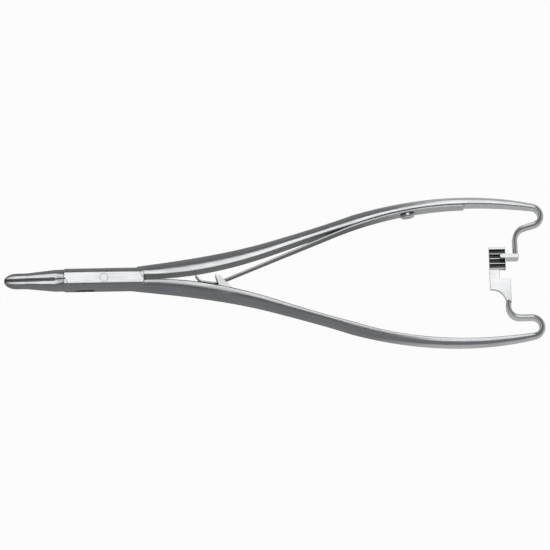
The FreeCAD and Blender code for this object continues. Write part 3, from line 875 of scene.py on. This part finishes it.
@dataclass
class LeafSpring:
    """The leaf between the handles, which bends as they part."""

    finish: bpy.types.Material
    node: str = "leaf_spring"
    step: float = 2.5 * MM
    crease_deg: float = 30.0
    root: tuple[float, float, float] = (95 * MM, 18.5 * MM, 3.5 * MM)
    toe: tuple[float, float, float] = (47 * MM, -0.5 * MM, 3.5 * MM)

    def build(self) -> bpy.types.Object:
        """Copies the leaf, cuts it into short stretches, shades it smooth and dresses it.

        Returns:
            The piece that stands for the leaf.
        """
        piece = merged_copy(self.node, "leaf_spring_bending")
        low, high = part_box(self.node)
        work = bmesh.new()
        work.from_mesh(piece.data)
        place = low.x + self.step
        while place < high.x:
            bmesh.ops.bisect_plane(
                work,
                geom=work.verts[:] + work.edges[:] + work.faces[:],
                plane_co=(place, 0, 0),
                plane_no=(1, 0, 0),
            )
            place += self.step
        work.to_mesh(piece.data)
        work.free()
        for polygon in piece.data.polygons:
            polygon.use_smooth = True
        piece.data.set_sharp_from_angle(angle=math.radians(self.crease_deg))
        dress(piece, self.finish)
        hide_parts(self.node)
        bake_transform(piece)
        LOG.info("%s: %d faces", piece.name, len(piece.data.polygons))
        return piece


@dataclass
class SmallSteel:
    """A small turned piece that is kept as the frame has it."""

    node: str
    finish: bpy.types.Material

    def build(self) -> bpy.types.Object:
        """Dresses the node.

        Returns:
            The node itself.
        """
        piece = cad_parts[self.node]
        dress(piece, self.finish)
        LOG.info("%s: dressed", piece.name)
        return piece


@dataclass(frozen=True)
class SoftBox:
    """One soft box: where it hangs, what it faces, how large and how bright it is."""

    name: str
    place: tuple[float, float, float]
    faces: tuple[float, float, float]
    size: tuple[float, float]
    brightness: float

    def build(self) -> bpy.types.Object:
        """Hangs the soft box.

        Returns:
            The lamp, whose power gives the brightness over its size.
        """
        data = bpy.data.lights.new(f"soft_box_{self.name}", "AREA")
        data.shape = "RECTANGLE"
        data.size, data.size_y = self.size
        data.energy = self.brightness * math.pi * data.size * data.size_y
        lamp = bpy.data.objects.new(data.name, data)
        aim = Vector(self.faces) - Vector(self.place)
        turn = aim.to_track_quat("-Z", "Y").to_matrix().to_4x4()
        lamp.matrix_world = Matrix.Translation(self.place) @ turn
        lamp.visible_camera = False
        bpy.context.scene.collection.objects.link(lamp)
        return lamp


@dataclass
class Studio:
    """The pale ground, the soft light and the camera of the photograph.

    The tent's shades run from the horizon, at 0, to the key direction, at 1: grey sides, a
    narrow dark rim and a white window round the key direction. The metal mirrors a greyer
    ground than the camera sees, so that the flanks of the bars stand out from the white, and
    a lighter one towards the handle ends, where the photograph's flanks turn pale.
    """

    ground: str = "#FFFFFF"
    card: str = "#8C8C8C"
    white_seen: float = 0.97
    grey_mirrored: float = 0.14
    white_mirrored: float = 0.5
    grey_to_white: tuple[float, float] = (92 * MM, 122 * MM)
    reach: float = 4.0
    key_direction: tuple[float, float, float] = (0.0, 0.342, 0.94)
    tent: tuple[tuple[float, str], ...] = (
        (0.0, "#7C7E80"),
        (0.6, "#7C7E80"),
        (0.8, "#686A6C"),
        (0.9, "#1C1E1F"),
        (0.925, "#E8E8E8"),
        (0.94, "#FFFFFF"),
        (1.0, "#FFFFFF"),
    )
    view_elevation_deg: float = 75.0
    view_roll_deg: float = -1.07
    view_width: float = 203.7 * MM
    centre: tuple[float, float, float] = (63.2 * MM, 0.66 * MM, 3.5 * MM)
    lens_mm: float = 200.0
    sensor_mm: float = 36.0
    soft_boxes: tuple[SoftBox, ...] = (
        SoftBox(
            name="over_all",
            place=(60 * MM, 300 * MM, 600 * MM),
            faces=(60 * MM, 0.0, 0.0),
            size=(500 * MM, 500 * MM),
            brightness=0.25,
        ),
        SoftBox(
            name="front_end",
            place=(187 * MM, -98 * MM, 284 * MM),
            faces=(187 * MM, 0.0, 0.0),
            size=(156 * MM, 161 * MM),
            brightness=1.0,
        ),
        SoftBox(
            name="rear_end",
            place=(187 * MM, 262 * MM, 145 * MM),
            faces=(187 * MM, 0.0, 0.0),
            size=(156 * MM, 207 * MM),
            brightness=1.0,
        ),
    )

    def world(self) -> None:
        """Draws the light tent, in place of which the camera sees the ground's white."""
        world = bpy.data.worlds.new("light_tent")
        bpy.context.scene.world = world
        world.use_nodes = True
        tree = world.node_tree
        tree.nodes.clear()
        direction = add_node(tree, "ShaderNodeTexCoord")
        towards = add_node(
            tree,
            "ShaderNodeVectorMath",
            links={0: direction.outputs["Generated"]},
            values={1: self.key_direction},
            operation="DOT_PRODUCT",
        )
        ramp = add_node(tree, "ShaderNodeValToRGB", links={"Fac": towards.outputs["Value"]})
        stops = ramp.color_ramp.elements
        for stop, (place, shade) in zip(stops, (self.tent[0], self.tent[-1])):
            stop.position = place
            stop.color = linear(shade)
        for place, shade in self.tent[1:-1]:
            stops.new(place).color = linear(shade)
        path = add_node(tree, "ShaderNodeLightPath")
        tent = add_node(
            tree,
            "ShaderNodeBackground",
            links={"Color": ramp.outputs["Color"]},
            values={"Strength": 1.0},
        )
        seen = add_node(
            tree,
            "ShaderNodeBackground",
            values={"Color": linear(self.ground), "Strength": 1.0},
        )
        mixed = add_node(
            tree,
            "ShaderNodeMixShader",
            links={
                0: path.outputs["Is Camera Ray"],
                1: tent.outputs["Background"],
                2: seen.outputs["Background"],
            },
        )
        add_node(tree, "ShaderNodeOutputWorld", links={"Surface": mixed.outputs["Shader"]})

    def floor(self) -> None:
        """Lays a white card that still takes the instrument's shadow."""
        mesh = bpy.data.meshes.new("ground")
        corners = [(-1, -1), (1, -1), (1, 1), (-1, 1)]
        places = [(self.reach * x, self.reach * y, 0) for x, y in corners]
        mesh.from_pydata(places, [], [(0, 1, 2, 3)])
        ground = bpy.data.objects.new("ground", mesh)
        bpy.context.scene.collection.objects.link(ground)
        material = bpy.data.materials.new("white_card")
        material.use_nodes = True
        tree = material.node_tree
        tree.nodes.clear()
        path = add_node(tree, "ShaderNodeLightPath")
        straight = add_node(
            tree,
            "ShaderNodeMath",
            links={0: path.outputs["Is Camera Ray"]},
            values={1: self.white_seen},
            operation="MULTIPLY",
        )
        mirrored = add_node(
            tree,
            "ShaderNodeMath",
            links={0: path.outputs["Is Glossy Ray"], 1: path.outputs["Is Transmission Ray"]},
            operation="MAXIMUM",
        )
        place = add_node(tree, "ShaderNodeTexCoord")
        along = add_node(tree, "ShaderNodeSeparateXYZ", links={"Vector": place.outputs["Object"]})
        shown = add_node(
            tree,
            "ShaderNodeMapRange",
            links={"Value": along.outputs["X"]},
            values={
                "From Min": self.grey_to_white[0],
                "From Max": self.grey_to_white[1],
                "To Min": self.grey_mirrored,
                "To Max": self.white_mirrored,
            },
            interpolation_type="SMOOTHSTEP",
        )
        whiteness = add_node(
            tree,
            "ShaderNodeMath",
            links={
                0: mirrored.outputs["Value"],
                1: shown.outputs["Result"],
                2: straight.outputs["Value"],
            },
            operation="MULTIPLY_ADD",
        )
        card = add_node(tree, "ShaderNodeBsdfDiffuse", values={"Color": linear(self.card)})
        white = add_node(
            tree,
            "ShaderNodeEmission",
            values={"Color": linear(self.ground), "Strength": 1.0},
        )
        mixed = add_node(
            tree,
            "ShaderNodeMixShader",
            links={
                0: whiteness.outputs["Value"],
                1: card.outputs["BSDF"],
                2: white.outputs["Emission"],
            },
        )
        add_node(tree, "ShaderNodeOutputMaterial", links={"Surface": mixed.outputs["Shader"]})
        mesh.materials.append(material)

    def light(self) -> None:
        """Hangs the soft boxes."""
        for soft_box in self.soft_boxes:
            soft_box.build()

    def camera(self) -> None:
        """Sets up the photograph's long view, from above and a little to the front."""
        data = bpy.data.cameras.new("catalogue_camera")
        data.lens = self.lens_mm
        data.sensor_width = self.sensor_mm
        distance = self.view_width * self.lens_mm / self.sensor_mm
        lift = math.radians(self.view_elevation_deg)
        back = Vector((0, -math.cos(lift), math.sin(lift)))
        camera = bpy.data.objects.new(data.name, data)
        turn = (-back).to_track_quat("-Z", "Y").to_matrix().to_4x4()
        roll = Matrix.Rotation(math.radians(self.view_roll_deg), 4, "Z")
        place = Matrix.Translation(Vector(self.centre) + back * distance)
        camera.matrix_world = place @ turn @ roll
        bpy.context.scene.collection.objects.link(camera)
        bpy.context.scene.camera = camera

    def build(self) -> None:
        """Sets up the whole studio."""
        self.world()
        self.floor()
        self.light()
        self.camera()
        bpy.context.scene.view_settings.view_transform = "Standard"
        LOG.info("studio: %d soft boxes", len(self.soft_boxes))


def main() -> None:
    """Builds every piece in order."""
    logging.basicConfig(level=logging.INFO, format="%(message)s")
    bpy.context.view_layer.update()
    satin = SATIN_STEEL.build()
    polished = POLISHED_STEEL.build()
    carbide = CARBIDE.build()
    Forging("box_half", "box_side", satin, teeth=RatchetTeeth(MILLED_STEEL.build())).build()
    Forging("tongue_half", "tongue_side", satin).build()
    SerratedInsert("upper_jaw_insert", "box_side", 1, carbide).build()
    SerratedInsert("lower_jaw_insert", "tongue_side", -1, carbide).build()
    LeafSpring(SPRING_STEEL.build()).build()
    Forging("joint_pin", "box_side", satin, slot="polished_steel").build()
    SmallSteel("spring_screw", polished).build()
    Studio().build()


if __name__ == "__main__":
    main()
